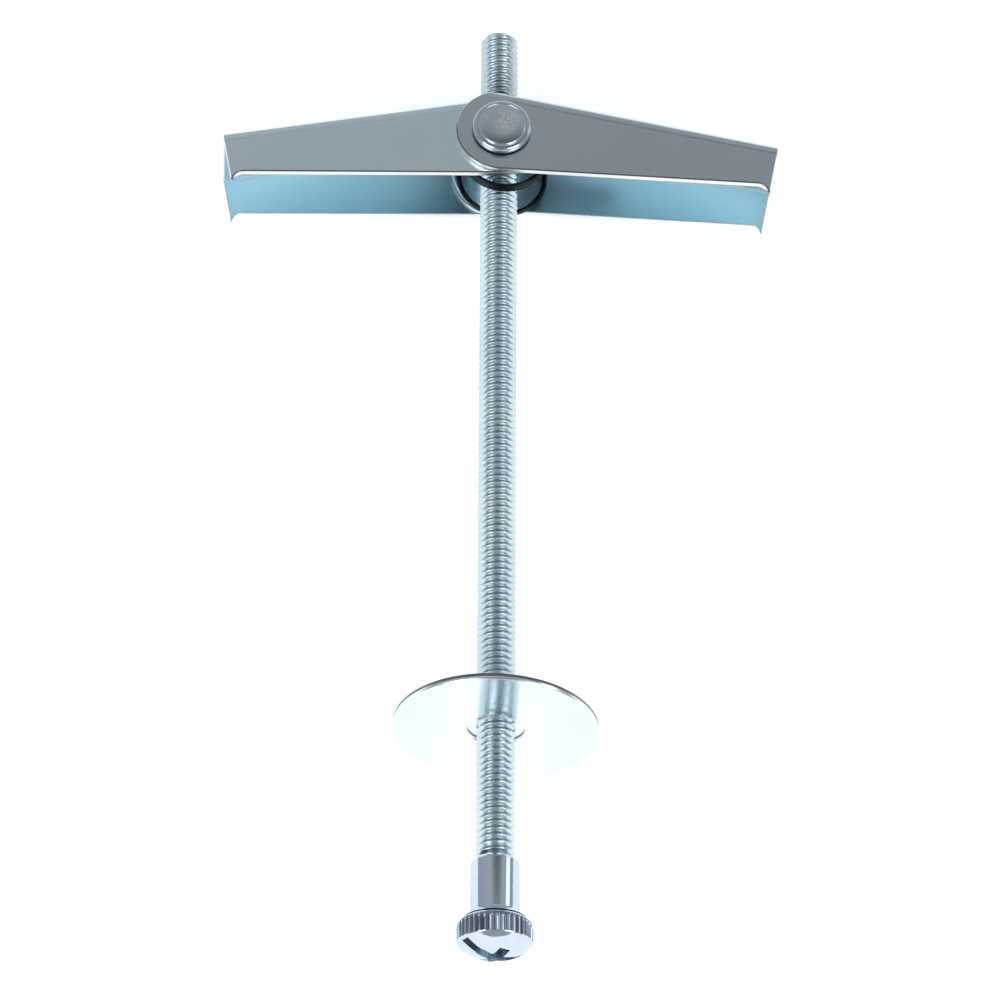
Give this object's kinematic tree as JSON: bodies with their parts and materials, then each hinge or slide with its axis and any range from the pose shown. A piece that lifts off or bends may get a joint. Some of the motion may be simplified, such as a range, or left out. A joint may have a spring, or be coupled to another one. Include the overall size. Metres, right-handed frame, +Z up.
{
  "type": "spring toggle bolt",
  "caption": "Threaded rod with a spring-open folding toggle nut at one end and a loose washer and knurled sleeve nut at the other, for fixing to hollow walls and ceilings.",
  "frame": {"origin": "bottom centre of the bounding box, on the surface the bolt lies on", "axes": "+Y along the rod towards the wings, up to the slope at which it lies; +Z up; +X across the open wings"},
  "size_m": [0.0578, 0.1039, 0.0202],
  "materials": {
    "rod_zinc": "blue zinc plated rolled thread, bright",
    "nut_plated": "bright plated, mirror sleeve, straight knurl",
    "washer_zinc": "bright zinc plated, smooth",
    "wing_zinc": "blue zinc plated pressed sheet, satin",
    "trunnion_zinc": "zinc plated turned steel with riveted ends",
    "spring_wire": "dark tempered spring wire"
  },
  "bodies": {
    "rod": {"threaded_rod": "rod_zinc"},
    "nut": {"sleeve_nut": "nut_plated"},
    "washer": {"washer": "washer_zinc"},
    "toggle": {"trunnion_nut": "trunnion_zinc", "torsion_spring": "spring_wire"},
    "left_wing": {"left_wing": "wing_zinc"},
    "right_wing": {"right_wing": "wing_zinc"}
  },
  "joints": [
    {"name": "nut_screw", "type": "slide", "parent": "rod", "child": "nut", "axis": [0, 0.9983, -0.0581], "range_m": [-0.0045, 0.001]},
    {"name": "washer_slide", "type": "slide", "parent": "rod", "child": "washer", "axis": [0, 0.9983, -0.0581], "range_m": [-0.0183, 0.018]},
    {"name": "toggle_travel", "type": "slide", "parent": "rod", "child": "toggle", "axis": [0, 0.9983, -0.0581], "range_m": [-0.015, 0.01]},
    {"name": "left_wing_fold", "type": "hinge", "parent": "toggle", "child": "left_wing", "pos_m": [0, 0.03784, 0.00624], "axis": [0, 0.0581, 0.9983], "range_deg": [0, 76], "stiffness_Nm_per_rad": 0.012, "springref_deg": -40.11, "deforming": ["torsion_spring"]},
    {"name": "right_wing_fold", "type": "hinge", "parent": "toggle", "child": "right_wing", "pos_m": [0, 0.03784, 0.00624], "axis": [0, -0.0581, -0.9983], "range_deg": [0, 76], "stiffness_Nm_per_rad": 0.012, "springref_deg": -40.11, "deforming": ["torsion_spring"]}
  ]
}
